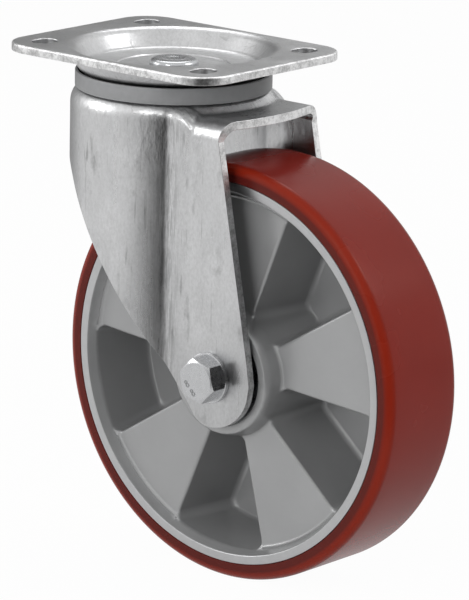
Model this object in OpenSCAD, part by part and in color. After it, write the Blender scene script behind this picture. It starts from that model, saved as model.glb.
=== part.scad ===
// Swivel castor with a top plate, a pressed steel fork and a cast wheel with a bonded tread.
// The origin is the centre of the plate's top face, on the swivel axis. +Z is up and +Y is the
// direction of travel, so the wheel trails at -Y. The head of the axle bolt is on the -X side.
// All lengths are in millimetres.

/* [Overall] */
// Height from the floor to the top of the plate
total_height = 245; // [225:1:265]
// Clear height between the wheel and the fork's roof
roof_gap = 17.6; // [14:0.2:25]
// Distance of the axle behind the swivel axis
trail = 57; // [54:0.5:60]

/* [Top plate] */
// Length of the plate along the direction of travel
plate_length = 131; // [128:1:150]
// Width of the plate
plate_width = 106; // [105:1:125]
// Thickness of the pressed sheet of plate and fork
sheet = 4; // [3.6:0.1:4.2]
// Radius of the plate's corners
plate_corner_r = 17; // [8:1:18]
// Distance between the bolt slots along the plate
slot_spacing_long = 100; // [98:0.5:102]
// Distance between the bolt slots across the plate
slot_spacing_wide = 72.5; // [71:0.5:75]
// Width of a bolt slot
slot_width = 11; // [9:0.5:11.5]
// Extra length of a bolt slot, which lets the bolts sit nearer or further apart
slot_travel = 2.5; // [1:0.5:4]
// Depth of the round dish pressed into the plate
dish_depth = 9; // [8:0.5:10]
// Depth of the small step round the middle of the dish
centre_step = 0.4; // [0.3:0.1:0.8]
// Radius of the small step round the middle of the dish
centre_step_r = 26.5; // [22:0.5:28]

/* [Swivel bearing] */
// Diameter of the balls between plate and fork
upper_ball_d = 7; // [6.5:0.1:7.4]
// Pitch radius of the balls between plate and fork
upper_pitch_r = 34.5; // [32:0.5:35.5]
// Diameter of the balls under the fork
lower_ball_d = 6; // [5.6:0.1:6.4]
// Pitch radius of the balls under the fork
lower_pitch_r = 27; // [25:0.5:28]
// Space between one swivel ball and the next
ball_space = 0.5; // [0.4:0.1:1]
// Width of the dish's floor outside the balls, where the dust seal's foot begins
ball_margin = 2; // [1.5:0.1:3]
// Part of a ball's diameter that stays clear between its two tracks
track_opening = 0.9; // [0.86:0.01:0.94]
// Gap between a rolling ball and its tracks
ball_gap = 0.2; // [0.15:0.05:0.3]
// Radius of the king pin through plate and race
pin_r = 10; // [9:0.5:11]
// Radius of the king pin's collar between plate and race
pin_collar_r = 13; // [12:0.5:14]
// Radius of the king pin's head
pin_head_r = 11.7; // [11.2:0.1:12.5]
// Height of the king pin's head
pin_head_h = 3.5; // [3:0.1:4]
// Thickness of the lower race
race_thickness = 4; // [3.5:0.5:5]
// Width of the lower race outside its ball track
race_margin = 7; // [6:0.5:8]
// Clearance between the dust seal and the foot of the dish
seal_dish_gap = 0.95; // [0.7:0.05:1.2]
// Wall thickness of the dust seal
seal_wall = 1.5; // [1.2:0.1:1.6]
// Height by which the dust seal laps over the foot of the dish
seal_lap = 1.6; // [1:0.1:1.8]

/* [Fork] */
// Width of the hood's shoulder outside the dust seal
seal_ledge = 2.1; // [1.8:0.1:3]
// Height that the flat roof lies below the crown of the hood
roof_drop = 4.1; // [3.8:0.1:4.6]
// Clearance between the hub's end and a leg
hub_leg_gap = 2.5; // [2:0.1:3]
// Inner radius of the bends from the roof to the legs
bend_r = 5; // [4:0.5:6]
// Reach of the roof's bowed rear edge behind the swivel axis
roof_reach = 65.5; // [63:0.5:68]
// Reach of the legs' top corners behind the swivel axis
leg_reach = 59.5; // [57:0.5:61]
// Height of the legs' rear top corners below the roof
leg_corner_drop = 9; // [9:0.5:12]
// Distance behind the swivel axis at which the flared front strips begin
flare_start = 43; // [42:0.5:45]
// Angle by which the front strips of the legs flare out to meet the hood
flare_angle = 12; // [9:0.5:13]
// Radius of the legs' lower ends
leg_end_r = 24; // [22:0.5:25]
// Distance from the axle to the straight front edge of the legs
front_edge_gap = 19.5; // [18:0.5:21]
// Radius that joins the front edge to the lower end
front_corner_r = 12; // [10:1:14]
// Slope of the front edge below the horizontal
front_edge_angle = 54.7; // [53:0.1:57]
// Depth of the hood's skirt at the front, below the plate's top face
skirt_depth = 50; // [48:1:53]
// Radius that joins the skirt to the front edge
skirt_corner_r = 30; // [24:1:34]

/* [Wheel] */
// Width of the wheel
wheel_width = 50; // [48:0.5:52]
// Thickness of the tread
tread = 8; // [7:0.5:10]
// Radius of the tread's outer corners
tread_corner_r = 4.5; // [3:0.5:6]
// Width of the machined ring on the rim's face
rim_lip = 4; // [3:0.5:5]
// Depth of the raised web panels below the rim's face
panel_inset = 5.5; // [4.5:0.5:7]
// Thickness of the web panels
panel_thickness = 5.5; // [4.5:0.5:6.5]
// Slope of the rim's inner wall down to the panels
rim_wall_drop = 2.5; // [2:0.5:3]
// Angle of the web's pattern about the axle
web_angle = 13.7; // [0:0.1:72]
// Number of pockets on each side of the web
pockets = 5; // [5:1:5]
// Angle that a pocket's mouth spans
pocket_angle = 37; // [34:0.5:38]
// Draft of the pocket walls, in degrees
pocket_draft = 8; // [6:0.5:9]
// Radius of the pockets' corners
pocket_corner_r = 4; // [3:0.5:5]
// Radius of the fillet round a pocket's floor
pocket_floor_r = 3; // [2:0.5:3.5]
// Radius of the hub at its ends
hub_r = 28.5; // [27.5:0.5:30]
// Growth of the hub's radius down to the panels
hub_flare = 2; // [1:0.5:3]
// Distance by which the hub stands out of the rim on each side
hub_overhang = 4; // [3:0.5:5]
// Bevel on the hub's ends
hub_bevel = 1; // [0.5:0.1:1.5]

/* [Wheel bearings] */
// Outer diameter of a ball bearing
bearing_od = 47; // [45:0.5:48]
// Bore of a ball bearing
bearing_bore = 20; // [19:0.5:21]
// Width of a ball bearing
bearing_width = 14; // [13:0.5:15]
// Distance of a bearing behind the hub's end
bearing_inset = 1; // [0.5:0.1:1.5]
// Diameter of a bearing's balls
bearing_ball_d = 7.5; // [7:0.1:7.9]
// Number of a bearing's balls
bearing_balls = 8; // [6:1:8]
// Radial thickness of a bearing's rings at their shoulders
ring_wall = 4.3; // [4:0.1:4.6]
// Thickness of a bearing's rubber seals
bearing_seal = 1; // [0.8:0.1:1.2]
// Radial thickness of a ball cage
cage_wall = 2.6; // [2:0.1:2.8]
// Width of a ball cage beyond its balls
cage_margin = 1; // [0.8:0.1:1.2]

/* [Axle] */
// Diameter of the axle bolt
bolt_d = 12; // [10:1:12]
// Width across the flats of the bolt's head and the nut
hex_flats = 19; // [18:0.5:20]
// Height of the bolt's head
bolt_head_h = 7.5; // [7:0.5:8]
// Height of the nut's hexagon
nut_h = 9; // [8:0.5:10]
// Height of the nut's locking collar
nut_collar_h = 3; // [2:0.5:4]
// Length of bolt that stands out of the nut
bolt_tail = 1.5; // [1:0.5:3]
// Outer diameter of the axle washers
washer_d = 24; // [23:0.5:26]
// Thickness of the axle washers
washer_thickness = 2.5; // [2:0.5:3]
// Wall of the tube between the two bearings' inner rings
spacer_wall = 3; // [2.5:0.5:4]

/* [Fits] */
// Radial clearance of a pressed or bonded seat
seat_gap = 0.02; // [0.01:0.01:0.05]
// Radial clearance of the bolt in its tube
bolt_gap = 0.15; // [0.1:0.05:0.25]
// Radial clearance of the bolt in the legs' holes
leg_hole_gap = 0.5; // [0.3:0.1:0.8]
// Clearance between the seals and the rings that turn past them
seal_gap = 0.3; // [0.2:0.05:0.4]

/* [Hidden] */
$fn = 96;

// Length that is longer than the whole castor, for cuts
beyond = 400;

// Heights, measured down from the plate's top face as negative numbers
dish_floor_z = -dish_depth;
dish_under_z = dish_floor_z - sheet;
upper_opening = upper_ball_d * track_opening;
crown_z = dish_under_z - upper_opening;
crown_under_z = crown_z - sheet;
lower_opening = lower_ball_d * track_opening;
race_z = crown_under_z - lower_opening;
race_under_z = race_z - race_thickness;
roof_z = crown_z - roof_drop;
leg_corner_z = roof_z - leg_corner_drop;
wheel_r = (total_height + roof_z - sheet - roof_gap) / 2;
axle_z = wheel_r - total_height;

// Dish of the plate: one bend radius at each end of a straight sloping wall
dish_wall_angle = 55;
dish_outer_bend = sheet + 2;
dish_inner_bend = 3;
dish_floor_r = upper_pitch_r + upper_ball_d / 2 + ball_margin;
dish_wall_fall = dish_depth - (dish_outer_bend + dish_inner_bend) * (1 - cos(dish_wall_angle));
dish_wall_run = dish_wall_fall / tan(dish_wall_angle);
dish_outer_r = dish_floor_r + (dish_outer_bend + dish_inner_bend) * sin(dish_wall_angle)
    + dish_wall_run;

// Number of balls that fit side by side on a pitch circle
function ball_count(pitch_r, d) = floor(180 / asin((d + ball_space) / 2 / pitch_r));

// Swivel bearing
upper_ball_count = ball_count(upper_pitch_r, upper_ball_d);
lower_ball_count = ball_count(lower_pitch_r, lower_ball_d);
pin_head_round = 2;
pin_dimple_r = 5.5;
pin_dimple_depth = 0.6;
pin_rivet_r = pin_r + 4;
pin_rivet_h = 4.5;
crown_hole_r = pin_collar_r + 2;
race_r = lower_pitch_r + race_margin;
race_lip = 2.5;
race_lip_h = 2.6;
seal_foot_z = crown_z;
seal_top_z = dish_under_z + seal_lap;
foot_bend = dish_inner_bend + sheet;
dish_foot_r = dish_floor_r + sqrt(pow(foot_bend, 2) - pow(foot_bend - seal_lap, 2));
seal_r = dish_foot_r + seal_dish_gap + seal_wall;

// Fork
hub_length = wheel_width + 2 * hub_overhang;
leg_gap = hub_length + 2 * hub_leg_gap;
hood_r = seal_r + seal_ledge;
hood_inner_r = hood_r - sheet;
shoulder_fall = 8;
shoulder_run = 5;
leg_half = leg_gap / 2 + sheet;
leg_end = [trail, axle_z];
front_dir = [cos(front_edge_angle), -sin(front_edge_angle)];
front_out = [-sin(front_edge_angle), -cos(front_edge_angle)];
front_corner_run = sqrt(pow(leg_end_r - front_corner_r, 2) - pow(front_edge_gap - front_corner_r, 2));
front_corner = leg_end + (front_edge_gap - front_corner_r) * front_out + front_corner_run * front_dir;
front_tangent = front_corner + front_corner_r * front_out;
leg_corner = [leg_reach, leg_corner_z];
rear_line = leg_end - leg_corner;
rear_angle = atan2(rear_line[1], rear_line[0]) + asin(leg_end_r / norm(rear_line));
skirt_vertex = front_tangent
    - front_dir * (-skirt_depth - front_tangent[1]) / sin(front_edge_angle);
skirt_run = skirt_corner_r * tan(front_edge_angle / 2);
skirt_start = skirt_vertex - [skirt_run, 0];
skirt_centre = skirt_start - [0, skirt_corner_r];
roof_bow = roof_reach - leg_reach;
roof_bow_r = (pow(leg_half, 2) + pow(roof_bow, 2)) / (2 * roof_bow);
flare_pivot = [leg_gap / 2, flare_start];
flare_out = [cos(flare_angle), sin(flare_angle)];
flare_back = [-sin(flare_angle), cos(flare_angle)];
flare_length = 18.5;

// Angle from the rear at which a face of a front strip meets a round wall
function meeting_angle(offset, r) =
    let (
        away = flare_pivot * flare_out + offset,
        spot = away * flare_out + sqrt(r * r - away * away) * flare_back
    )
    atan2(spot[0], spot[1]);

// The round wall ends inside the thickness of the front strips
hood_end_angle = (meeting_angle(0, hood_inner_r) + meeting_angle(sheet, hood_r)) / 2;

// Wheel
rim_r = wheel_r - tread;
rim_inner_r = rim_r - rim_lip;
half_width = wheel_width / 2;
panel_x = half_width - panel_inset;
panel_back_x = panel_x - panel_thickness;
web_rim_r = rim_inner_r - rim_wall_drop;
web_hub_r = hub_r + hub_flare;
pocket_outer_r = web_rim_r;
pocket_inner_r = web_hub_r;

// Bearings
bearing_r = bearing_od / 2;
bore_r = bearing_bore / 2;
bearing_outer_x = hub_length / 2 - bearing_inset;
bearing_inner_x = bearing_outer_x - bearing_width;
bearing_mid_x = bearing_outer_x - bearing_width / 2;
ball_pitch_r = (bearing_r + bore_r) / 2;
ball_track_r = bearing_ball_d / 2 + ball_gap;
outer_shoulder_r = bearing_r - ring_wall;
inner_shoulder_r = bore_r + ring_wall;
hub_shoulder_r = bearing_r - 3;
bolt_r = bolt_d / 2;
leg_outer_x = leg_half;
washer_outer_x = leg_outer_x + washer_thickness;

// Point at a radius and an angle round a centre
function polar(r, a, c = [0, 0]) = c + r * [cos(a), sin(a)];

// Points of an arc from angle a to angle b
function arc(c, r, a, b, n = 8) = [for (i = [0:n]) polar(r, a + (b - a) * i / n, c)];

// Extrusion across the castor: x of the profile runs backwards, its y runs up
module across(width) {
    rotate([90, 0, -90]) linear_extrude(width, center = true) children();
}

// Extrusion backwards from one distance behind the swivel axis to another
module backwards(from, to) {
    translate([0, -from, 0]) rotate([90, 0, 0]) linear_extrude(to - from) children();
}

// Extrusion of a plan, whose y runs backwards, between two heights
module upright(from, to) {
    translate([0, 0, from]) mirror([0, 1, 0]) linear_extrude(to - from) children();
}

// Places what is turned about the axle: its z runs towards the bolt's head
module at_axle() {
    translate([0, -trail, axle_z]) rotate([90, 0, -90]) children();
}

// The same, mirrored to the side of the nut
module at_far_side() {
    at_axle() mirror([0, 0, 1]) children();
}

// Tube or ring between two places on the axle
module ring(r_out, r_in, from, to) {
    translate([0, 0, from]) difference() {
        cylinder(r = r_out, h = to - from);
        translate([0, 0, -1]) cylinder(r = r_in, h = to - from + 2);
    }
}

// Rectangle with round corners
module rounded_rectangle(length, width, r) {
    square([length - 2 * r, width], center = true);
    square([length, width - 2 * r], center = true);
    for (x = [-1, 1], y = [-1, 1])
        translate([x * (length / 2 - r), y * (width / 2 - r)]) circle(r);
}

// Groove that a set of balls rolls in
module ball_track(pitch_r, ball_d, z) {
    translate([0, 0, z]) rotate_extrude()
        translate([pitch_r, 0]) circle(ball_d / 2 + ball_gap);
}

// Slot of the plate, long across the plate
module bolt_slot() {
    for (x = [-1, 1])
        translate([x * slot_travel / 2, 0, -beyond / 2]) cylinder(d = slot_width, h = beyond);
    cube([slot_travel, slot_width, beyond], center = true);
}

// Section of the dish, from its outer bend to the king pin's hole
module dish_section() {
    outer = [dish_outer_r, -dish_outer_bend];
    inner = [dish_floor_r, dish_floor_z + dish_inner_bend];
    steep = dish_wall_angle;
    polygon(concat(
        [[dish_outer_r + 1, 0]],
        arc(outer, dish_outer_bend, 90, 90 + steep),
        arc(inner, dish_inner_bend, steep - 90, -90, 5),
        [
            [centre_step_r + centre_step, dish_floor_z],
            [centre_step_r, dish_floor_z - centre_step],
            [pin_r + seat_gap, dish_floor_z - centre_step],
            [pin_r + seat_gap, dish_under_z],
        ],
        arc(inner, dish_inner_bend + sheet, -90, steep - 90),
        arc(outer, dish_outer_bend - sheet, 90 + steep, 90, 5),
        [[dish_outer_r + 1, -sheet]]
    ));
}

module top_plate() {
    color("silver") difference() {
        union() {
            translate([0, 0, -sheet]) difference() {
                linear_extrude(sheet)
                    rounded_rectangle(plate_width, plate_length, plate_corner_r);
                translate([0, 0, -1]) cylinder(r = dish_outer_r + 0.5, h = sheet + 2);
            }
            rotate_extrude() dish_section();
        }
        for (x = [-1, 1], y = [-1, 1])
            translate([x * slot_spacing_wide / 2, y * slot_spacing_long / 2, 0]) bolt_slot();
        ball_track(upper_pitch_r, upper_ball_d, dish_under_z - upper_opening / 2);
    }
}

module king_pin() {
    seat_z = dish_floor_z - centre_step;
    top_z = seat_z + pin_head_h;
    head_edge = [pin_head_r - pin_head_round, top_z - pin_head_round];
    color("gainsboro") rotate_extrude() polygon(concat(
        [
            [0, top_z - pin_dimple_depth],
            [pin_dimple_r - 1.5, top_z - pin_dimple_depth],
            [pin_dimple_r, top_z],
        ],
        arc(head_edge, pin_head_round, 90, 0),
        [
            [pin_head_r, seat_z],
            [pin_r, seat_z],
            [pin_r, dish_under_z],
            [pin_collar_r, dish_under_z],
            [pin_collar_r, race_z],
            [pin_r, race_z],
            [pin_r, race_under_z],
            [pin_rivet_r, race_under_z],
        ],
        arc([pin_rivet_r - 3, race_under_z - pin_rivet_h + 3], 3, 0, -90, 5),
        [[0, race_under_z - pin_rivet_h]]
    ));
}

module lower_race() {
    color("darkgray") difference() {
        rotate_extrude() polygon(concat(
            [
                [pin_r + seat_gap, race_under_z],
                [pin_r + seat_gap, race_z],
                [race_r - race_lip, race_z],
                [race_r - race_lip, race_z + race_lip_h],
                [race_r, race_z + race_lip_h],
            ],
            arc([race_r - 2.5, race_under_z + 2.5], 2.5, 0, -90, 5)
        ));
        ball_track(lower_pitch_r, lower_ball_d, crown_under_z - lower_opening / 2);
    }
}

// Full set of balls round the swivel axis
module swivel_balls(count, pitch_r, ball_d, z) {
    color("lightsteelblue") for (i = [0:count - 1])
        rotate([0, 0, i * 360 / count]) translate([pitch_r, 0, z]) sphere(d = ball_d, $fn = 32);
}

module upper_swivel_balls() {
    swivel_balls(upper_ball_count, upper_pitch_r, upper_ball_d, dish_under_z - upper_opening / 2);
}

module lower_swivel_balls() {
    swivel_balls(lower_ball_count, lower_pitch_r, lower_ball_d, crown_under_z - lower_opening / 2);
}

// Side view of the fork: legs, rear edge and the front edge that runs up into the skirt
module fork_side() {
    foot_angle = atan2(front_corner[1] - leg_end[1], front_corner[0] - leg_end[0]);
    front_angle = atan2(front_out[1], front_out[0]);
    polygon(concat(
        [[-2 * hood_r, beyond / 2], [-2 * hood_r, -skirt_depth]],
        arc(skirt_centre, skirt_corner_r, 90, 90 - front_edge_angle),
        arc(front_corner, front_corner_r, front_angle, foot_angle),
        arc(leg_end, leg_end_r, foot_angle, rear_angle + 90, 20),
        [
            leg_corner,
            [roof_reach + 1, leg_corner_z],
            [roof_reach + 1, beyond / 2],
        ]
    ));
}

// Upright shape with a flat top and two round top corners
module arched(half_width, top, r) {
    translate([-half_width, top - r - beyond]) square([2 * half_width, beyond]);
    translate([-half_width + r, top - r - 1]) square([2 * (half_width - r), r + 1]);
    for (x = [-1, 1])
        translate([x * (half_width - r), top - r]) circle(r);
}

// Solid with the outline of roof and legs, or of the space between them. The front strips of
// the legs turn out to meet the hood.
module channel(half_width, top, r, start) {
    pivot = [flare_pivot[0], -flare_pivot[1], 0];
    backwards(start, 2 * trail) arched(half_width, top, r);
    for (side = [0, 1]) mirror([side, 0, 0])
        translate(pivot) rotate([0, 0, -flare_angle]) translate(-pivot)
            backwards(flare_start - flare_length, flare_start + 10) intersection() {
                arched(half_width, top, r);
                translate([0, -beyond]) square([beyond, 2 * beyond]);
            }
}

// Crown and shoulder of the hood
module crown() {
    outer = [hood_r - shoulder_run, crown_z - shoulder_fall];
    inner = [hood_inner_r - shoulder_run, crown_under_z - shoulder_fall];
    oval = function(c, a) c + [shoulder_run * cos(a), shoulder_fall * sin(a)];
    rotate_extrude() polygon(concat(
        [[crown_hole_r, crown_under_z], [crown_hole_r, crown_z]],
        [for (a = [90:-10:0]) oval(outer, a)],
        [[hood_r, inner[1]]],
        [for (a = [0:10:90]) oval(inner, a)]
    ));
}

// Round wall of the hood, ending in the flared strips
module hood_wall() {
    wall_top = crown_under_z - shoulder_fall + 0.01;
    reach = 3 * hood_r;
    difference() {
        translate([0, 0, wall_top - beyond])
            ring(hood_r, hood_inner_r, 0, beyond);
        upright(-2 * beyond, 0) polygon([
            [0, 0],
            [-reach * sin(hood_end_angle), reach * cos(hood_end_angle)],
            [0, 2 * reach],
            [reach * sin(hood_end_angle), reach * cos(hood_end_angle)],
        ]);
    }
}

module fork() {
    color("gainsboro") difference() {
        union() {
            crown();
            intersection() {
                hood_wall();
                across(4 * hood_r) fork_side();
            }
            difference() {
                intersection() {
                    channel(leg_half, roof_z, bend_r + sheet, flare_start - 10);
                    across(4 * hood_r) fork_side();
                }
                translate([0, 0, -beyond]) cylinder(r = hood_inner_r, h = beyond);
                difference() {
                    upright(leg_corner_z, 0) translate([-hood_r, 0]) square([2 * hood_r, beyond]);
                    upright(-beyond, 1)
                        translate([0, roof_reach - roof_bow_r]) circle(roof_bow_r);
                }
            }
        }
        channel(leg_half - sheet, roof_z - sheet, bend_r, flare_start - 20);
        translate([0, -trail, axle_z]) rotate([0, 90, 0])
            cylinder(r = bolt_r + leg_hole_gap, h = beyond, center = true);
        ball_track(upper_pitch_r, upper_ball_d, dish_under_z - upper_opening / 2);
        ball_track(lower_pitch_r, lower_ball_d, crown_under_z - lower_opening / 2);
    }
}

module dust_seal() {
    inner = seal_r - seal_wall;
    color("dimgray") rotate_extrude() polygon([
        [dish_floor_r, seal_foot_z],
        [seal_r, seal_foot_z],
        [seal_r, seal_top_z],
        [inner, seal_top_z],
        [inner, seal_foot_z + seal_wall],
        [dish_floor_r, seal_foot_z + seal_wall],
    ]);
}

// Hexagon with the round bevel of a bolt's head on its outer end
module hex_head(height) {
    bevel = hex_flats * 0.06;
    intersection() {
        rotate([0, 0, 90]) cylinder(d = hex_flats / cos(30), h = height, $fn = 6);
        union() {
            cylinder(d = hex_flats * 1.2, h = height - bevel);
            translate([0, 0, height - bevel - 0.001])
                cylinder(d1 = hex_flats * 1.2, d2 = hex_flats * 0.94, h = bevel + 0.001);
        }
    }
}

module axle_bolt() {
    tail = washer_outer_x + nut_h + nut_collar_h + bolt_tail;
    color("silver") at_axle() {
        translate([0, 0, -tail]) cylinder(r = bolt_r, h = tail + washer_outer_x + 1);
        translate([0, 0, washer_outer_x]) hex_head(bolt_head_h);
    }
}

module axle_washer() {
    color("lightgray") ring(washer_d / 2, bolt_r + leg_hole_gap, leg_outer_x, washer_outer_x);
}

module bolt_washer() {
    at_axle() axle_washer();
}

module nut_washer() {
    at_far_side() axle_washer();
}

module axle_nut() {
    color("silver") at_far_side() translate([0, 0, washer_outer_x]) difference() {
        union() {
            hex_head(nut_h);
            cylinder(d = hex_flats * 0.86, h = nut_h + nut_collar_h);
        }
        translate([0, 0, -1]) cylinder(r = bolt_r + seat_gap, h = beyond);
    }
}

module axle_tube() {
    color("gray") at_axle()
        ring(bore_r - seat_gap, bolt_r + bolt_gap, -leg_gap / 2, leg_gap / 2);
}

module bearing_spacer() {
    color("gray") at_axle()
        ring(bore_r + spacer_wall, bore_r, -bearing_inner_x, bearing_inner_x);
}

module distance_bush() {
    color("gray") ring(inner_shoulder_r, bore_r, bearing_outer_x, leg_gap / 2);
}

module near_distance_bush() {
    at_axle() distance_bush();
}

module far_distance_bush() {
    at_far_side() distance_bush();
}

// Track of a bearing's balls
module bearing_track() {
    translate([0, 0, bearing_mid_x]) rotate_extrude()
        translate([ball_pitch_r, 0]) circle(ball_track_r);
}

module inner_ring() {
    color("lightsteelblue") difference() {
        ring(inner_shoulder_r, bore_r, bearing_inner_x, bearing_outer_x);
        bearing_track();
    }
}

module near_inner_ring() {
    at_axle() inner_ring();
}

module far_inner_ring() {
    at_far_side() inner_ring();
}

module outer_ring() {
    color("lightsteelblue") difference() {
        ring(bearing_r, outer_shoulder_r, bearing_inner_x, bearing_outer_x);
        bearing_track();
    }
}

module near_outer_ring() {
    at_axle() outer_ring();
}

module far_outer_ring() {
    at_far_side() outer_ring();
}

// Rubber seals at both faces of a bearing, held by its outer ring
module bearing_seals() {
    recess = 0.4;
    color("black") for (x = [bearing_inner_x + recess, bearing_outer_x - recess - bearing_seal])
        ring(outer_shoulder_r, inner_shoulder_r + seal_gap, x, x + bearing_seal);
}

module near_bearing_seals() {
    at_axle() bearing_seals();
}

module far_bearing_seals() {
    at_far_side() bearing_seals();
}

module bearing_ball_set() {
    color("white") for (i = [0:bearing_balls - 1])
        rotate([0, 0, i * 360 / bearing_balls])
            translate([ball_pitch_r, 0, bearing_mid_x]) sphere(d = bearing_ball_d, $fn = 32);
}

module near_bearing_balls() {
    at_axle() bearing_ball_set();
}

module far_bearing_balls() {
    at_far_side() bearing_ball_set();
}

module ball_cage() {
    half = bearing_ball_d / 2 + cage_margin;
    color("goldenrod") difference() {
        ring(ball_pitch_r + cage_wall / 2, ball_pitch_r - cage_wall / 2,
            bearing_mid_x - half, bearing_mid_x + half);
        for (i = [0:bearing_balls - 1])
            rotate([0, 0, i * 360 / bearing_balls]) translate([0, 0, bearing_mid_x])
                rotate([0, 90, 0]) cylinder(d = bearing_ball_d + 2 * ball_gap, h = bearing_r);
    }
}

module near_ball_cage() {
    at_axle() ball_cage();
}

module far_ball_cage() {
    at_far_side() ball_cage();
}

// Half of a pocket's outline at one depth: a corner at the hub, then a corner at the rim.
// Each wall stands in by the same distance from the outline of the mouth.
function pocket_corner(sides, wall_in) =
    let (
        h = pocket_angle / 2,
        f = pocket_corner_r,
        off = wall_in + f,
        r_rim = pocket_outer_r - wall_in / 2 - f,
        r_hub = pocket_inner_r + wall_in / 2 + f,
        along = [cos(h), sin(h)],
        inward = [sin(h), -cos(h)],
        rim = sqrt(r_rim * r_rim - off * off) * along + off * inward,
        hub = sqrt(r_hub * r_hub - off * off) * along + off * inward,
        rim_a = atan2(rim[1], rim[0]),
        hub_a = atan2(hub[1], hub[0])
    )
    concat(
        arc(hub, f, hub_a + 180, h + 90, sides),
        arc(rim, f, h + 90, rim_a, sides)
    );

// Closed outline of a pocket at one depth
function pocket_outline(wall_in, sides = 4, steps = 3) =
    let (
        half = pocket_corner(sides, wall_in),
        last = half[len(half) - 1],
        first = half[0],
        rim_r = norm(last),
        rim_a = atan2(last[1], last[0]),
        hub_r = norm(first),
        hub_a = atan2(first[1], first[0]),
        back = [for (i = [len(half) - 1:-1:0]) [half[i][0], -half[i][1]]],
        rim_arc = [for (i = [1:steps]) polar(rim_r, rim_a * (1 - 2 * i / (steps + 1)))],
        hub_arc = [polar(hub_r, 0)]
    )
    concat(half, rim_arc, back, hub_arc);

// Levels of a pocket from its mouth down to its floor: height, and how far the walls stand in
function pocket_levels() =
    let (
        slope = tan(pocket_draft),
        floor_z = -panel_back_x,
        mouth_z = half_width + 1,
        foot = floor_z + pocket_floor_r,
        foot_in = slope * (panel_x - foot)
    )
    concat(
        [[mouth_z, slope * (panel_x - mouth_z)]],
        [for (a = [0:30:90]) [
            foot - pocket_floor_r * sin(a),
            foot_in + pocket_floor_r * (1 - cos(a)),
        ]]
    );

// One pocket of the web as a closed surface lofted through its levels
module pocket() {
    levels = pocket_levels();
    rings = [for (l = levels) pocket_outline(l[1])];
    n = len(rings[0]);
    m = len(levels);
    points = [for (k = [0:m - 1], p = rings[k]) [p[0], p[1], levels[k][0]]];
    walls = [for (k = [0:m - 2], i = [0:n - 1])
        [k * n + (i + 1) % n, k * n + i, (k + 1) * n + i, (k + 1) * n + (i + 1) % n]];
    mouth = [[for (i = [0:n - 1]) i]];
    bottom = [[for (i = [n - 1:-1:0]) (m - 1) * n + i]];
    polyhedron(points, concat(walls, mouth, bottom), convexity = 4);
}

// Section of one half of the cast wheel body before its pockets are cut, from bore to rim
function half_section() = [
    [hub_shoulder_r, bearing_inner_x],
    [bearing_r + seat_gap, bearing_inner_x],
    [bearing_r + seat_gap, hub_length / 2],
    [hub_r - hub_bevel, hub_length / 2],
    [hub_r, hub_length / 2 - hub_bevel],
    [web_hub_r - 0.5, panel_x + 2],
    [web_hub_r + 2, panel_x],
    [web_rim_r - 1.5, panel_x],
    [web_rim_r + 0.5, panel_x + 1.5],
    [rim_inner_r, half_width],
    [rim_r, half_width],
];

module wheel_section() {
    half = half_section();
    other_half = [for (i = [len(half) - 1:-1:0]) [half[i][0], -half[i][1]]];
    polygon(concat(half, other_half));
}

module wheel_rim() {
    pitch = 360 / pockets;
    color("darkgray") at_axle() difference() {
        rotate_extrude() wheel_section();
        for (i = [0:pockets - 1]) {
            rotate([0, 0, web_angle + (i + 0.5) * pitch]) pocket();
            rotate([0, 0, web_angle + i * pitch]) mirror([0, 0, 1]) pocket();
        }
    }
}

module tyre() {
    corner = [wheel_r - tread_corner_r, half_width - tread_corner_r];
    color("firebrick") at_axle() rotate_extrude() polygon(concat(
        [[rim_r, -half_width]],
        arc([corner[0], -corner[1]], tread_corner_r, -90, 0),
        arc(corner, tread_corner_r, 0, 90),
        [[rim_r, half_width]]
    ));
}

top_plate();
king_pin();
lower_race();
upper_swivel_balls();
lower_swivel_balls();
fork();
dust_seal();
axle_bolt();
bolt_washer();
nut_washer();
axle_nut();
axle_tube();
bearing_spacer();
near_inner_ring();
far_inner_ring();
near_distance_bush();
far_distance_bush();
wheel_rim();
tyre();
near_outer_ring();
far_outer_ring();
near_bearing_seals();
far_bearing_seals();
near_bearing_balls();
far_bearing_balls();
near_ball_cage();
far_ball_cage();
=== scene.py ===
import math
import bmesh
import bpy
import numpy as np
from mathutils import Matrix, Vector, geometry


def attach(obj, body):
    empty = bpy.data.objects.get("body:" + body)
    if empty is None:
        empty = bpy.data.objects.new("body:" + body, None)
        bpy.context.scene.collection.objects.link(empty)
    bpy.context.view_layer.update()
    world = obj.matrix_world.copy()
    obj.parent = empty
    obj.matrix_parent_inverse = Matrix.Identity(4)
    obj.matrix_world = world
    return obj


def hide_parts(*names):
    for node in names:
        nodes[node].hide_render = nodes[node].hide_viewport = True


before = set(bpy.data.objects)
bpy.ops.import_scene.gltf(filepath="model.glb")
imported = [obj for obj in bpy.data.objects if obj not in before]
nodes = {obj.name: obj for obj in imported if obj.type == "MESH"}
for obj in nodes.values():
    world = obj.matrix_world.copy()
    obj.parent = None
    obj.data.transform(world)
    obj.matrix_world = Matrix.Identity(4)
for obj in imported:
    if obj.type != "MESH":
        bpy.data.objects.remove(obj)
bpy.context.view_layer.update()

# Sizes in millimetres, as in the part's source
TRAIL = 57.0
AXLE_Z = -145.0
SHEET = 4.0
PLATE_LENGTH = 131
PLATE_WIDTH = 106
PLATE_R = 17
SLOT_X = 36.25
SLOT_Y = 50.0
SLOT_R = 5.5
SLOT_HALF_TRAVEL = 1.25
DISH_R = 40.0
DISH_Z = -9.0
PIN_SEAT_Z = -9.4
PIN_HOLE_R = 10.2
CROWN_Z = -19.3
ROOF_Z = -23.4
HOOD_R = 49.0
LEG_X = 35.5
LEG_REAR = 59.5
REACH = 65.5
WHEEL_R = 100.0
TREAD_R = 92.0
HALF_WIDTH = 25.0
POCKETS = 5
PITCH = 360 // POCKETS


def polar(r, a):
    return np.array([r * math.cos(math.radians(a)), r * math.sin(math.radians(a))])


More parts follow.
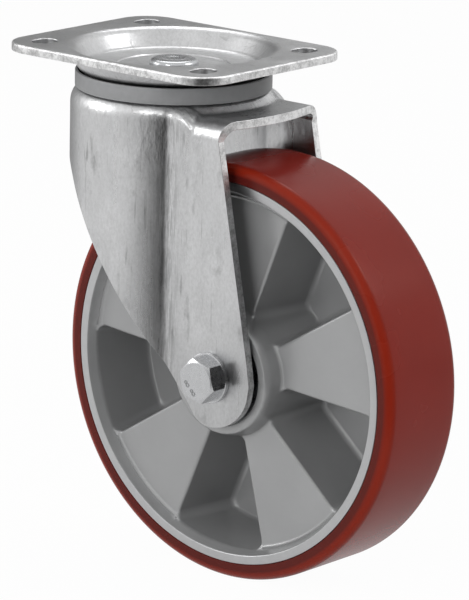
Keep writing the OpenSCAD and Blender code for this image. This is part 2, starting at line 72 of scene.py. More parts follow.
def arc(c, r, a, b, n):
    return [np.array(c) + polar(r, a + (b - a) * i / n) for i in range(n + 1)]


def smooth(mesh, sharp=None):
    """Shades the mesh smooth, with edges sharper than an angle in degrees kept."""
    mesh.polygons.foreach_set("use_smooth", [True] * len(mesh.polygons))
    if sharp:
        mesh.set_sharp_from_angle(angle=math.radians(sharp))


class Shape:
    """Collects points in millimetres and faces; build joins the points that meet."""

    def __init__(self):
        self.points = []
        self.faces = []
        self.mats = []

    def add(self, pts):
        start = len(self.points)
        self.points.extend([tuple(float(v) for v in p) for p in pts])
        return list(range(start, start + len(pts)))

    def face(self, ids, mat=0):
        clean = []
        for i in ids:
            if not clean or clean[-1] != i:
                clean.append(i)
        if len(clean) > 1 and clean[0] == clean[-1]:
            clean.pop()
        if len(clean) > 2:
            self.faces.append(clean)
            self.mats.append(mat)

    def rows(self, rows, close=False, mat=0):
        """Skin over rows of points with the same count; close joins each row's ends."""
        ids = [self.add(r) for r in rows]
        n = len(ids[0])
        for a, b in zip(ids[:-1], ids[1:]):
            for i in range(n if close else n - 1):
                j = (i + 1) % n
                self.face([a[i], a[j], b[j], b[i]], mat)
        return ids

    def flat(self, loops, mat=0):
        """Fills the plane region between an outer loop and holes, all on one plane."""
        ids = [self.add(l) for l in loops]
        flat_ids = [i for l in ids for i in l]
        for tri in geometry.tessellate_polygon([[Vector(p) for p in l] for l in loops]):
            self.face([flat_ids[k] for k in tri], mat)


def about_axle(p):
    """Wheel space, with x backwards, y up and z towards the bolt's head, to the object's frame."""
    return (-p[2], -TRAIL - p[0], AXLE_Z + p[1])


def revolve(shape, profile, n, axle=True, mats=None, close=False):
    """Turns a profile of (radius, height) pairs, round the axle or round the upright axis."""
    pts = list(profile)
    if close:
        pts.append(pts[0])
    ids = []
    for r, h in pts:
        if r < 1e-6:
            p = (0.0, 0.0, h)
            ids.append(shape.add([about_axle(p) if axle else p]) * n)
            continue
        ring = []
        for k in range(n):
            a = 2 * math.pi * k / n
            p = (r * math.cos(a), r * math.sin(a), h)
            ring.append(about_axle(p) if axle else p)
        ids.append(shape.add(ring))
    for k, (a, b) in enumerate(zip(ids[:-1], ids[1:])):
        mat = mats[k] if mats else 0
        for i in range(n):
            j = (i + 1) % n
            shape.face([a[i], a[j], b[j], b[i]], mat)


def add_object(name, data):
    obj = bpy.data.objects.new(name, data)
    bpy.context.scene.collection.objects.link(obj)
    return obj


def build(name, shape, body, materials, sharp, stands_for):
    """Makes the object, joins its points, points its faces outwards and puts it on its body."""
    mesh = bpy.data.meshes.new(name)
    mesh.from_pydata([(x * 0.001, y * 0.001, z * 0.001) for x, y, z in shape.points], [], shape.faces)
    for m in materials:
        mesh.materials.append(m)
    mesh.polygons.foreach_set("material_index", shape.mats)
    bm = bmesh.new()
    bm.from_mesh(mesh)
    bmesh.ops.remove_doubles(bm, verts=bm.verts, dist=2e-6)
    bmesh.ops.dissolve_degenerate(bm, edges=bm.edges, dist=1e-7)
    bmesh.ops.recalc_face_normals(bm, faces=bm.faces)
    bm.to_mesh(mesh)
    bm.free()
    smooth(mesh, sharp)
    obj = add_object(name, mesh)
    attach(obj, body)
    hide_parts(stands_for)
    return obj


def even_normals(obj):
    """Keeps flat faces flat beside narrow round edges."""
    mod = obj.modifiers.new("even_normals", "WEIGHTED_NORMAL")
    mod.keep_sharp = True
    mod.weight = 90


# Materials


class Nodes:
    """Short way to build a shader."""

    def __init__(self, name, world=False):
        self.mat = bpy.data.worlds.new(name) if world else bpy.data.materials.new(name)
        self.mat.use_nodes = True
        self.tree = self.mat.node_tree
        self.tree.nodes.clear()

    def put(self, socket, value):
        """Links a (node, output) pair to a socket, or sets its value; a colour gets its alpha."""
        if isinstance(value, tuple) and hasattr(value[0], "outputs"):
            self.tree.links.new(value[0].outputs[value[1]], socket)
        elif isinstance(value, tuple) and len(value) < len(socket.default_value):
            socket.default_value = (*value, 1)
        else:
            socket.default_value = value

    def node(self, kind, inputs=None, **props):
        n = self.tree.nodes.new(kind)
        for k, v in props.items():
            setattr(n, k, v)
        for k, v in (inputs or {}).items():
            self.put(n.inputs[k], v)
        return n

    def math(self, op, a, b=None, c=None, clamp=False):
        n = self.node("ShaderNodeMath", operation=op, use_clamp=clamp)
        for i, v in enumerate((a, b, c)):
            if v is not None:
                self.put(n.inputs[i], v)
        return (n, 0)

    def ramp(self, fac, stops):
        n = self.node("ShaderNodeValToRGB", {0: fac})
        while len(n.color_ramp.elements) < len(stops):
            n.color_ramp.elements.new(0.5)
        for element, (position, grey) in zip(n.color_ramp.elements, stops):
            element.position = position
            element.color = (grey, grey, grey, 1)
        return (n, 0)

    def mix(self, fac, a, b, blend="MIX"):
        n = self.node("ShaderNodeMix", {0: fac, 6: a, 7: b}, data_type="RGBA", blend_type=blend)
        return (n, 2)

    def noise(self, vector, scale, detail, rough):
        inputs = {"Vector": vector, "Scale": scale, "Detail": detail, "Roughness": rough}
        return (self.node("ShaderNodeTexNoise", inputs), 0)

    def coords(self, scale=(1, 1, 1), turn=(0, 0, 0), shift=(0, 0, 0)):
        if not hasattr(self, "tex"):
            self.tex = self.node("ShaderNodeTexCoord")
        turn = tuple(math.radians(t) for t in turn)
        inputs = {"Vector": (self.tex, "Object"), "Scale": scale, "Rotation": turn, "Location": shift}
        return (self.node("ShaderNodeMapping", inputs), 0)

    def split(self, vector):
        return self.node("ShaderNodeSeparateXYZ", {"Vector": vector})

    def azimuth(self, sep):
        """Turn round the upright axis, from 0 to 1."""
        return self.math("MULTIPLY_ADD", self.math("ARCTAN2", (sep, 1), (sep, 0)), 0.5 / math.pi, 0.5)

    def length(self, a, b):
        return self.math("SQRT", self.math("ADD", self.math("MULTIPLY", a, a), self.math("MULTIPLY", b, b)))

    def wheel_space(self):
        """Split coordinates about the axle, and the distance from it."""
        sep = self.split(self.coords(shift=(0, TRAIL * 0.001, -AXLE_Z * 0.001)))
        return sep, self.length((sep, 1), (sep, 2))

    def bump(self, height, strength, distance, normal=None):
        n = self.node("ShaderNodeBump", {"Strength": strength, "Distance": distance, "Height": height})
        if normal:
            self.put(n.inputs["Normal"], normal)
        return (n, 0)

    def output(self, shader, kind="ShaderNodeOutputMaterial"):
        self.node(kind, {0: (shader, 0)})
        return self.mat

    def surface(self, **inputs):
        named = {k.replace("_", " "): v for k, v in inputs.items()}
        return self.output(self.node("ShaderNodeBsdfPrincipled", named))


def zinc_sheet(name, upright=True, tone=0.66, rough=0.25, marks=1.0):
    """Bright zinc plate on rolled sheet: soft mottling, drawing lines, fine scratches and rubbed smudges; an
    upright sheet also gets painted shade towards its lower end and in the crease between hood and leg.
    """
    m = Nodes(name)
    clouds = m.noise(m.coords((1, 1, 0.6)), 30, 6, 0.62)
    mottle = m.noise(m.coords((1, 1, 0.5), shift=(3, 1, 2)), 120, 5, 0.65)
    grain = m.noise(m.coords((1, 1, 0.6)), 850, 3, 0.7)
    lines_v = m.noise(m.coords((420, 420, 9) if upright else (420, 9, 60)), 1.0, 3, 0.6)
    smudges = m.noise(m.coords((1, 1, 0.7), shift=(9, 2, 4)), 70, 5, 0.68)
    smudge = m.ramp(smudges, [(0.0, 0), (0.58, 0), (0.70, 1), (1, 1)])
    scratch_a = m.noise(m.coords((1100, 60, 34), shift=(5, 3, 1)), 1.0, 2, 0.5)
    scratch_b = m.noise(m.coords((800, 800, 26), (14, 9, 0), (2, 7, 4)), 1.0, 2, 0.5)
    scratch_a = m.ramp(scratch_a, [(0, 0), (0.635, 0), (0.69, 1), (1, 1)])
    scratch_b = m.ramp(scratch_b, [(0, 0), (0.66, 0), (0.71, 1), (1, 1)])
    scr = m.math("MAXIMUM", scratch_a, scratch_b)
    scr = m.math("MULTIPLY", scr, m.ramp(mottle, [(0, 0), (0.42, 0.15), (0.62, 1), (1, 1)]))
    patch = m.ramp(clouds, [(0, 0), (0.38, 0.0), (0.64, 1), (1, 1)])
    base = m.mix(patch, (tone * 0.92, tone * 0.925, tone * 0.935), (tone * 1.07, tone * 1.075, tone * 1.085))
    fleck = m.math("ADD", m.math("MULTIPLY", grain, 0.6), m.math("MULTIPLY", mottle, 0.4))
    fleck = m.ramp(fleck, [(0, 0), (0.36, 0), (0.64, 1), (1, 1)])
    base = m.mix(m.math("MULTIPLY", fleck, 0.52), base, (tone * 0.64,) * 3)
    base = m.mix(m.math("MULTIPLY", smudge, 0.30 * marks), base, (tone * 0.42,) * 3)
    base = m.mix(m.math("MULTIPLY", scr, 0.50 * marks), base, (tone * 0.36,) * 3)
    place = m.split(m.coords())
    shoulder = m.ramp(m.math("MULTIPLY_ADD", (place, 2), 20.0, 1.5), [(0, 0), (0.30, 0), (0.72, 1), (1, 1)])
    if upright:
        # Painted shade: the sheet is darker towards its lower end
        down = m.math("MULTIPLY_ADD", (place, 2), 8.0, 1.5)
        painted_shade_low = m.ramp(down, [(0, 0.80), (0.30, 0.84), (0.90, 1), (1, 1)])
        base = m.mix(1.0, base, painted_shade_low, "MULTIPLY")
        # Painted shade in the crease between the hood and the leg, broken into streaks
        away_x = m.math("SUBTRACT", m.math("ABSOLUTE", (place, 0)), 0.0415)
        away_y = m.math("ADD", (place, 1), 0.0325)
        near = m.math("MULTIPLY", m.length(away_x, away_y), 100.0)
        near = m.ramp(near, [(0, 1), (0.28, 0.9), (0.75, 0), (1, 0)])
        crease_shade = m.noise(m.coords((900, 900, 60), shift=(1, 8, 3)), 1.0, 4, 0.7)
        crease_shade = m.ramp(crease_shade, [(0, 0), (0.44, 0), (0.56, 1), (1, 1)])
        base = m.mix(m.math("MULTIPLY", m.math("MULTIPLY", near, crease_shade), 0.60), base, (tone * 0.22,) * 3)
    r0 = m.math("MULTIPLY_ADD", clouds, 0.16, rough - 0.08)
    r1 = m.math("MULTIPLY_ADD", lines_v, 0.10, r0)
    r2 = m.math("ADD", m.math("MULTIPLY_ADD", smudge, 0.08, r1), m.math("MULTIPLY", scr, 0.12), clamp=True)
    height = m.math("ADD", m.math("MULTIPLY", lines_v, 0.5), m.math("MULTIPLY", mottle, 0.8))
    height = m.math("ADD", height, m.math("MULTIPLY", grain, 0.22))
    height = m.math("SUBTRACT", height, m.math("MULTIPLY", scr, 0.45 * marks))
    n1 = m.bump(height, 0.32, 0.00008)
    n2 = m.bump(clouds, 0.25, 0.0007, n1)
    dents = m.math("MULTIPLY", m.math("ADD", mottle, m.math("MULTIPLY", smudges, 1.2)), shoulder)
    n3 = m.bump(dents, 0.34 if upright else 0.12, 0.0011, n2)
    return m.surface(Base_Color=base, Metallic=1.0, Roughness=r2, Normal=n3)


def sheared_edge(name, tone=0.72):
    """Rough sheared edge of the sheet under bright zinc."""
    m = Nodes(name)
    grain = m.noise(m.coords(), 900, 4, 0.7)
    coarse = m.noise(m.coords(), 240, 4, 0.65)
    both = m.math("ADD", m.math("MULTIPLY", grain, 0.6), m.math("MULTIPLY", coarse, 0.9))
    share = m.ramp(both, [(0, 0), (0.58, 0), (0.86, 1), (1, 1)])
    base = m.mix(share, (tone * 0.62,) * 3, (tone * 1.15,) * 3)
    rough = m.math("MULTIPLY_ADD", grain, 0.22, 0.22)
    return m.surface(Base_Color=base, Metallic=1.0, Roughness=rough, Normal=m.bump(both, 0.8, 0.0003))


def around(value, spread):
    """Factor and offset that spread noise evenly about a value."""
    return spread, value - spread / 2


def plain_metal(name, colour, rough, grain=0.0002):
    """Even metal of a fine grain."""
    m = Nodes(name)
    n = m.noise(m.coords(), 300, 4, 0.6)
    base = m.mix(n, tuple(c * 0.88 for c in colour), tuple(c * 1.1 for c in colour))
    rough = m.math("MULTIPLY_ADD", n, *around(rough, 0.16))
    return m.surface(Base_Color=base, Metallic=1.0, Roughness=rough, Normal=m.bump(n, 0.25, grain))


def turned_metal(name, colour, rough):
    """Faces turned round the axle: fine rings."""
    m = Nodes(name)
    _, r = m.wheel_space()
    wave = m.math("SINE", m.math("MULTIPLY", r, 14000.0))
    n = m.noise(m.coords(), 260, 4, 0.6)
    base = m.mix(n, tuple(c * 0.9 for c in colour), tuple(c * 1.08 for c in colour))
    rough = m.math("MULTIPLY_ADD", n, *around(rough, 0.14))
    return m.surface(Base_Color=base, Metallic=1.0, Roughness=rough, Normal=m.bump(wave, 0.10, 0.00003))


def cast_alu(name):
    """Satin skin of a die casting."""
    m = Nodes(name)
    clouds = m.noise(m.coords(), 38, 5, 0.6)
    fine = m.noise(m.coords(), 640, 4, 0.65)
    base = m.mix(clouds, (0.225, 0.227, 0.229), (0.28, 0.282, 0.284))
    rough = m.math("MULTIPLY_ADD", clouds, 0.12, 0.24)
    n = m.bump(fine, 0.25, 0.00007)
    n = m.bump(clouds, 0.15, 0.0008, n)
    return m.surface(Base_Color=base, Metallic=0.45, Roughness=rough, Specular_IOR_Level=0.8, Normal=n)


def polyurethane(name):
    """Cast red polyurethane: gloss over a deep red, with the side faces in painted shade and a painted
    orange glow on the corners where the light passes through.
    """
    m = Nodes(name)
    sep, r = m.wheel_space()
    across = m.math("ABSOLUTE", (sep, 0))
    near_top = m.math("MULTIPLY_ADD", r, 220.0, -21.0, clamp=True)
    near_side = m.math("MULTIPLY_ADD", across, 200.0, -3.95, clamp=True)
    # Painted glow: orange colour on the rounded corners between tread and side, for light passing through
    # them
    corner = m.math("MULTIPLY", near_top, near_side, clamp=True)
    noise = m.noise(m.coords(), 22, 3, 0.5)
    tread = m.mix(noise, (0.165, 0.011, 0.007), (0.215, 0.015, 0.009))
    # Painted shade: the side faces get a darker copy of the tread's red
    side = m.mix(noise, (0.052, 0.006, 0.005), (0.072, 0.008, 0.006))
    body = m.mix(m.math("MULTIPLY", near_side, m.math("SUBTRACT", 1.0, near_top)), tread, side)
    colour = m.mix(corner, body, (0.17, 0.011, 0.001))
    fine = m.noise(m.coords(), 90, 3, 0.5)
    return m.surface(
        Base_Color=colour,
        Metallic=0.0,
        Roughness=m.math("MULTIPLY_ADD", noise, 0.12, 0.20),
        Specular_IOR_Level=0.21,
        Specular_Tint=(1.0, 0.70, 0.60),
        Subsurface_Weight=0.12,
        Subsurface_Scale=0.004,
        Normal=m.bump(fine, 0.08, 0.0003),
    )


def dull(name, colour, rough):
    """Dull plastic or rubber."""
    m = Nodes(name)
    n = m.noise(m.coords(), 260, 4, 0.6)
    base = m.mix(n, tuple(c * 0.85 for c in colour), tuple(c * 1.15 for c in colour))
    rough = m.math("MULTIPLY_ADD", n, *around(rough, 0.1))
    return m.surface(Base_Color=base, Metallic=0.0, Roughness=rough, Normal=m.bump(n, 0.2, 0.0002))


ZINC = zinc_sheet("zinc_fork", marks=1.25)
ZINC_PLATE = zinc_sheet("zinc_plate", upright=False, tone=0.60, rough=0.26, marks=0.8)
EDGE = sheared_edge("zinc_edge")
BOLT = plain_metal("zinc_bolt", (0.54, 0.545, 0.555), 0.27, 0.00005)
# Painted shade: the raised figures get a darker copy of the bolt's zinc
SHADED_FIGURES = plain_metal("zinc_figures", (0.34, 0.345, 0.35), 0.30, 0.00008)
PIN = plain_metal("zinc_pin", (0.50, 0.51, 0.52), 0.22, 0.00006)
STEEL = turned_metal("bearing_steel", (0.50, 0.51, 0.53), 0.28)
ALU = cast_alu("cast_aluminium")
RIM = turned_metal("turned_aluminium", (0.50, 0.503, 0.507), 0.33)
TREAD = polyurethane("red_polyurethane")
SEAL = dull("grey_seal", (0.165, 0.167, 0.17), 0.40)
RUBBER = dull("black_rubber", (0.012, 0.012, 0.013), 0.5)
BRASS = plain_metal("brass_cage", (0.50, 0.36, 0.14), 0.4)

# Fork

FLARE = math.radians(12)
FRONT = math.radians(54.7)
STRIP_START = 31.5
STRIP_REAR = 43.0
OUT = np.array([math.cos(FLARE), math.sin(FLARE)])
BACK = np.array([-math.sin(FLARE), math.cos(FLARE)])
STRIP_AWAY = float(np.dot([STRIP_START, STRIP_REAR], OUT)) + SHEET
CREASE_R = 8.0
CREASE_LEG = 0.62
BEND_R = 20.0


def fork_plan():
    """Plan of the fork's outer face on one side, from the front to the leg's rear corner.
    Each entry is (x, distance behind the swivel axis, outward normal, how far it is leg)."""
    along = math.sqrt((HOOD_R + CREASE_R) ** 2 - (STRIP_AWAY + CREASE_R) ** 2)
    centre = (STRIP_AWAY + CREASE_R) * OUT + along * BACK
    hood_end = math.degrees(math.atan2(centre[0], centre[1]))
    out = []
    for a in np.linspace(180, hood_end, 46):
        n = np.array([math.sin(math.radians(a)), math.cos(math.radians(a))])
        out.append((HOOD_R * n, n, 0.0))
    a0 = math.degrees(math.atan2(-centre[1], -centre[0]))
    a1 = math.degrees(math.atan2(-OUT[1], -OUT[0]))
    for i in range(1, 13):
        n = -polar(1, a0 + (a1 - a0) * i / 12)
        out.append((centre - CREASE_R * n, n, CREASE_LEG * i / 12))
    corner = np.array([LEG_X, STRIP_REAR + SHEET * math.tan(FLARE / 2)])
    run = BEND_R * math.tan(FLARE / 2)
    start = out[-1][0]
    strip_end = corner - run * BACK
    for i in range(1, 7):
        t = i / 6
        out.append((start + (strip_end - start) * t, OUT, CREASE_LEG + (1 - CREASE_LEG) * t))
    centre = strip_end + BEND_R * OUT
    for i in range(1, 6):
        n = np.array([math.cos(FLARE * (1 - i / 5)), math.sin(FLARE * (1 - i / 5))])
        out.append((centre - BEND_R * n, n, 1.0))
    side = np.array([1.0, 0.0])
    for b in np.linspace(out[-1][0][1], LEG_REAR, 9)[1:]:
        out.append((np.array([LEG_X, b]), side, 1.0))
    foot_rear = TRAIL + END_R
    for b in foot_rear - (foot_rear - LEG_REAR) * np.cos(np.linspace(0, math.pi / 2, 24))[1:]:
        out.append((np.array([LEG_X, b]), side, 1.0))
    return out


END = np.array([TRAIL, AXLE_Z])
END_R = 24.0
FRONT_AWAY = 19.5
FRONT_OUT = np.array([-math.sin(FRONT), -math.cos(FRONT)])
FRONT_DIR = np.array([math.cos(FRONT), -math.sin(FRONT)])
CORNER_R = 12.0
CORNER_AWAY = FRONT_AWAY - CORNER_R
CORNER = END + CORNER_AWAY * FRONT_OUT + math.sqrt((END_R - CORNER_R) ** 2 - CORNER_AWAY**2) * FRONT_DIR
SKIRT_Z = -50.0
SKIRT_R = 30.0
REAR_TOP = np.array([LEG_REAR, ROOF_Z - 9.0])


def rear_tangent():
    line = END - REAR_TOP
    a = math.atan2(line[1], line[0]) + math.asin(END_R / np.linalg.norm(line))
    return END + END_R * np.array([math.cos(a + math.pi / 2), math.sin(a + math.pi / 2)])


REAR_FOOT = rear_tangent()
FRONT_TANGENT = CORNER + CORNER_R * FRONT_OUT
SKIRT_X = FRONT_TANGENT[0] - (SKIRT_Z - FRONT_TANGENT[1]) / math.tan(FRONT)
SKIRT_START = SKIRT_X - SKIRT_R * math.tan(FRONT / 2)


def fork_bottom(b):
    """Height of the fork's lower edge at a distance behind the swivel axis."""
    if b <= SKIRT_START:
        return SKIRT_Z
    if b < SKIRT_START + SKIRT_R * math.sin(FRONT):
        return SKIRT_Z - SKIRT_R + math.sqrt(SKIRT_R**2 - (b - SKIRT_START) ** 2)
    if b < FRONT_TANGENT[0]:
        return FRONT_TANGENT[1] + (FRONT_TANGENT[0] - b) * math.tan(FRONT)
    foot = END + END_R * (CORNER - END) / np.linalg.norm(CORNER - END)
    if b < foot[0]:
        return CORNER[1] - math.sqrt(max(0, CORNER_R**2 - (b - CORNER[0]) ** 2))
    return END[1] - math.sqrt(max(0, END_R**2 - (b - END[0]) ** 2))


def fork_rear(b):
    """Height of the leg's slanted rear edge."""
    if b < REAR_FOOT[0]:
        t = (b - REAR_TOP[0]) / (REAR_FOOT[0] - REAR_TOP[0])
        return REAR_TOP[1] + t * (REAR_FOOT[1] - REAR_TOP[1])
    return END[1] + math.sqrt(max(0, END_R**2 - (b - END[0]) ** 2))


STEP_R = 44.0
STEP_RUN = 6.2


def cap_z(r):
    """Height of the crown, falling in a soft step to the roof."""
    t = min(1.0, max(0.0, (r - STEP_R) / STEP_RUN))
    t = t * t * (3 - 2 * t)
    return CROWN_Z + (ROOF_Z - CROWN_Z) * t


BOW = REACH - LEG_REAR
BOW_R = (LEG_X**2 + BOW**2) / (2 * BOW)
# Radii of the crown's rings, close together on its step
LEVELS = [15, 26, 38, 43.6, 44.4, 45.2, 46, 46.8, 47.6, 48.4, 49.2, 50.2, 52.5, 56, 60]
WALL_ROWS = 14
BEND_ROWS = 10
BOW_START = 47.0


def bow(x):
    """Distance of the roof's bowed rear edge behind the swivel axis."""
    return REACH - BOW_R + math.sqrt(BOW_R**2 - x * x)


def fork_columns(plan, last, depth, side):
    """Columns of points up one side of one skin, depth below the outer skin, and its top ring."""
    columns, ring = [], []
    for i, (c, n, leg) in enumerate(plan):
        foot = c - depth * n
        low = fork_bottom(foot[1]) if depth == 0 or i < last else fork_bottom(c[1])
        if i > last:
            high = fork_rear(c[1])
        else:
            # Width and height of the bend from wall to roof, wider at the leg and tighter inside
            share = depth / SHEET
            w = 5.0 + 4.0 * leg - 4.0 * leg * share
            h = 8.0 + 1.0 * leg - 4.0 * leg * share
            q = foot - w * n
            top = cap_z(float(np.linalg.norm(q)) + depth) - depth
            high = top - h
        col = [(side * foot[0], -foot[1], low + (high - low) * j / WALL_ROWS) for j in range(WALL_ROWS + 1)]
        if i <= last:
            # The rear of the roof moves out to its bow
            k = min(1.0, max(0.0, (c[1] - BOW_START) / (LEG_REAR - BOW_START))) ** 2
            for j in range(1, BEND_ROWS + 1):
                a = math.pi / 2 * (1 - j / BEND_ROWS)
                p = q + w * math.sin(a) * n
                b = p[1] + k * min(1.0, j / 4) * (bow(p[0]) - LEG_REAR)
                col.append((side * p[0], -b, top - h * (1 - math.cos(a))))
            ring.append(col[-1])
        columns.append(col)
    return columns, ring


def fork_skin(s, plan, last, depth):
    """One skin of the fork. Gives back its cut border and the edge of the pin's hole."""
    sides = {}
    for side in (1, -1):
        columns, ring = fork_columns(plan, last, depth, side)
        s.rows(columns[: last + 1])
        s.rows([c[: WALL_ROWS + 1] for c in columns[last:]])
        lower = [c[0] for c in columns]
        upper = [c[WALL_ROWS] for c in columns[:last:-1]]
        border = lower + upper + columns[last][WALL_ROWS:]
        sides[side] = (border, ring)
    x_end = sides[1][1][-1][0]
    rear = [(x, -bow(x), ROOF_Z - depth) for x in np.linspace(x_end, -x_end, 17)[1:-1]]
    loop = sides[1][1] + rear + sides[-1][1][::-1]
    radials = []
    for p in loop:
        a, r = math.atan2(p[1], p[0]), math.hypot(p[0], p[1])
        line = []
        for l in LEVELS:
            l = l if l < 20 else l - depth
            line.append((l * math.cos(a), l * math.sin(a), cap_z(l + depth) - depth) if l < r - 0.15 else p)
        radials.append(line + [p])
    s.rows(radials)
    return sides[1][0] + rear + sides[-1][0][::-1], [l[0] for l in radials]


def fork_shape():
    s = Shape()
    plan = fork_plan()
    last = max(i for i, p in enumerate(plan) if p[0][1] < LEG_REAR + 1e-6)
    outer_border, outer_hole = fork_skin(s, plan, last, 0.0)
    inner_border, inner_hole = fork_skin(s, plan, last, SHEET)
    s.rows([outer_border, inner_border], close=True, mat=1)
    s.rows([outer_hole, inner_hole], close=True, mat=1)
    return s


def round_edges(obj, width, angle):
    """Rounds the sharp edges and keeps the result as the object's mesh."""
    bev = obj.modifiers.new("edges", "BEVEL")
    bev.width = width * 0.001
    bev.segments = 3
    bev.limit_method = "ANGLE"
    bev.angle_limit = math.radians(angle)
    bpy.context.view_layer.update()
    done = bpy.data.meshes.new_from_object(obj.evaluated_get(bpy.context.evaluated_depsgraph_get()))
    obj.modifiers.clear()
    obj.data = done
    smooth(done, 40)


fork = build("fork_sheet", fork_shape(), "fork_body", [ZINC, EDGE], None, "fork")
round_edges(fork, 0.5, 50)
even_normals(fork)

# Top plate


def lift(loop, z):
    return [(p[0], p[1], z) for p in loop]


def plate_loop(inset, z):
    """Outline of the plate at a height, drawn in by inset."""
    pts = []
    for sx, sy, a0 in ((1, 1, 0), (-1, 1, 90), (-1, -1, 180), (1, -1, 270)):
        c = (sx * (PLATE_WIDTH / 2 - PLATE_R), sy * (PLATE_LENGTH / 2 - PLATE_R))
        pts += arc(c, PLATE_R - inset, a0, a0 + 90, 10)
    return lift(pts, z)


def slot_loop(cx, cy, out, z):
    """Outline of a slot at a height, widened by out."""
    pts = []
    for sx, a0 in ((1, -90), (-1, 90)):
        centre = (cx + sx * SLOT_HALF_TRAVEL, cy)
        pts += arc(centre, SLOT_R + out, a0, a0 + 180, 14)
    return lift(pts, z)


def dish_profile():
    """Section of the dish, top side from the outside in, then the underside back out."""
    wall = 55.0
    bend_out, bend_in = 6.0, 3.0
    drop = -DISH_Z - (bend_out + bend_in) * (1 - math.cos(math.radians(wall)))
    run = drop / math.tan(math.radians(wall))
    outer_r = DISH_R + (bend_out + bend_in) * math.sin(math.radians(wall)) + run
    o = (outer_r, -bend_out)
    i = (DISH_R, DISH_Z + bend_in)
    top = [(outer_r + 1, 0)] + [tuple(p) for p in arc(o, bend_out, 90, 90 + wall, 14)]
    top += [tuple(p) for p in arc(i, bend_in, wall - 90, -90, 10)]
    # The pressed ring step round the pin
    top += [(27.6, DISH_Z), (27.3, -9.05), (26.9, -9.6), (26.6, -9.65), (25.4, -9.65)]
    top += [(25.1, -9.35), (24.6, -9.3), (24.1, PIN_SEAT_Z), (PIN_HOLE_R, PIN_SEAT_Z)]
    under = [(PIN_HOLE_R, DISH_Z - SHEET)] + [tuple(p) for p in arc(i, bend_in + SHEET, -90, wall - 90, 12)]
    under += [tuple(p) for p in arc(o, bend_out - SHEET, 90 + wall, 90, 8)] + [(outer_r + 1, -SHEET)]
    return top, under, outer_r + 1


def quarter(e, steps):
    """Inset and drop of a quarter round of radius e, from the face to the wall."""
    return [(e * (1 - math.sin(a)), -e * (1 - math.cos(a))) for a in np.linspace(0, math.pi / 2, steps)]


PLATE_ROUND = 0.8
SLOT_ROUND = 0.5
# Chamfers on the underside
UNDER_CUT = 0.4
SLOT_CUT = 0.15


def plate_shape():
    s = Shape()
    steps = 160
    top, under, r = dish_profile()
    revolve(s, top + under, steps, axle=False)
    ring = [polar(r, 360 * k / steps) for k in range(steps)]
    slots = [(sx * SLOT_X, sy * SLOT_Y) for sx in (-1, 1) for sy in (-1, 1)]
    for inset, widen, z in ((PLATE_ROUND, SLOT_ROUND, 0), (UNDER_CUT, SLOT_CUT, -SHEET)):
        s.flat([plate_loop(inset, z), lift(ring, z)] + [slot_loop(cx, cy, widen, z) for cx, cy in slots])
    rows = [plate_loop(d, z) for d, z in quarter(PLATE_ROUND, 5)]
    rows += [plate_loop(0, z) for z in np.linspace(-PLATE_ROUND, -SHEET + UNDER_CUT, 4)[1:]]
    rows += [plate_loop(0.1, -SHEET + 0.12), plate_loop(UNDER_CUT, -SHEET)]
    s.rows(rows, close=True, mat=1)
    for cx, cy in slots:
        walls = [slot_loop(cx, cy, d, z) for d, z in quarter(SLOT_ROUND, 4)]
        walls += [slot_loop(cx, cy, 0, -SHEET + SLOT_CUT), slot_loop(cx, cy, SLOT_CUT, -SHEET)]
        s.rows(walls, close=True)
    return s


plate_skins = [ZINC_PLATE, EDGE]
plate = build("plate_sheet", plate_shape(), "plate", plate_skins, 40, "top_plate")
even_normals(plate)

# King pin, seal


def pin_shape():
    s = Shape()
    seat, top, head, edge = PIN_SEAT_Z, -5.9, 11.7, 2.2
    profile = [(0, top - 0.55), (3.2, top - 0.5), (4.6, top - 0.3), (5.4, top - 0.06), (6.2, top)]
    profile += [tuple(p) for p in arc((head - edge, top - edge), edge, 90, 0, 8)]
    # Head, shank, shoulder under the dish, and the riveted end
    profile += [(head, seat + 0.2), (head - 0.1, seat), (10, seat), (10, -13), (13, -13)]
    profile += [(13, -28.7), (10, -28.7), (10, -32.7), (14, -32.7)]
    profile += [tuple(p) for p in arc((11, -34.2), 3.0, 0, -90, 6)] + [(0, -37.2)]
    revolve(s, profile, 96, axle=False)
    return s


build("pin_head", pin_shape(), "plate", [PIN], 50, "king_pin")


def seal_shape():
    s = Shape()
    r, wall, low, high = 46.9, 1.5, CROWN_Z, -11.4
    e = 0.5
    profile = [(DISH_R, low), (r - e, low)] + [tuple(p) for p in arc((r - e, low + e), e, -90, 0, 3)]
    profile += [tuple(p) for p in arc((r - e, high - e), e, 0, 90, 3)]
    profile += [(r - wall + 0.3, high), (r - wall, high - 0.3), (r - wall, low + wall), (DISH_R, low + wall)]
    revolve(s, profile, 160, axle=False, close=True)
    return s


build("seal_ring", seal_shape(), "fork_body", [SEAL], 40, "dust_seal")

# Wheel

# Heights are over the wheel's mid plane, and the pockets are those of the near side
WEB_ANGLE = 13.7
PANEL = 19.5
FLOOR = -14.0
POCKET_OUT = 85.5
POCKET_IN = 30.5
HALF_POCKET = 18.5
DRAFT = math.tan(math.radians(8))
POCKET_EDGE = 1.5
POCKET_FILLET = 3.0
CLEAR_OF_MOUTH = 0.35
BORE_R = 23.52
SHOULDER_R = 20.5
SHOULDER_Z = 14.0
HUB_END = 29.0


def casting_section():
    """Section of the casting's outer skin on one side, from the hub's end to the turned ring."""
    half = [(27.6, HUB_END), (28.3, 28.6), (28.7, 27.6)]
    half += [(29.0 + 1.3 * t, 27.6 - 5.6 * t) for t in (0.25, 0.5, 0.75, 1.0)]
    half += [tuple(p) for p in arc((32.2, PANEL + 1.8), 1.8, 200, 270, 6)]
    half += [tuple(p) for p in arc((83.1, PANEL + 2.0), 2.0, -90, -30, 6)]
    half += [(85.5, 20.2), (86.4, 21.8), (87.4, 24.0), (87.7, 24.8)]
    return half


SECTION = casting_section()


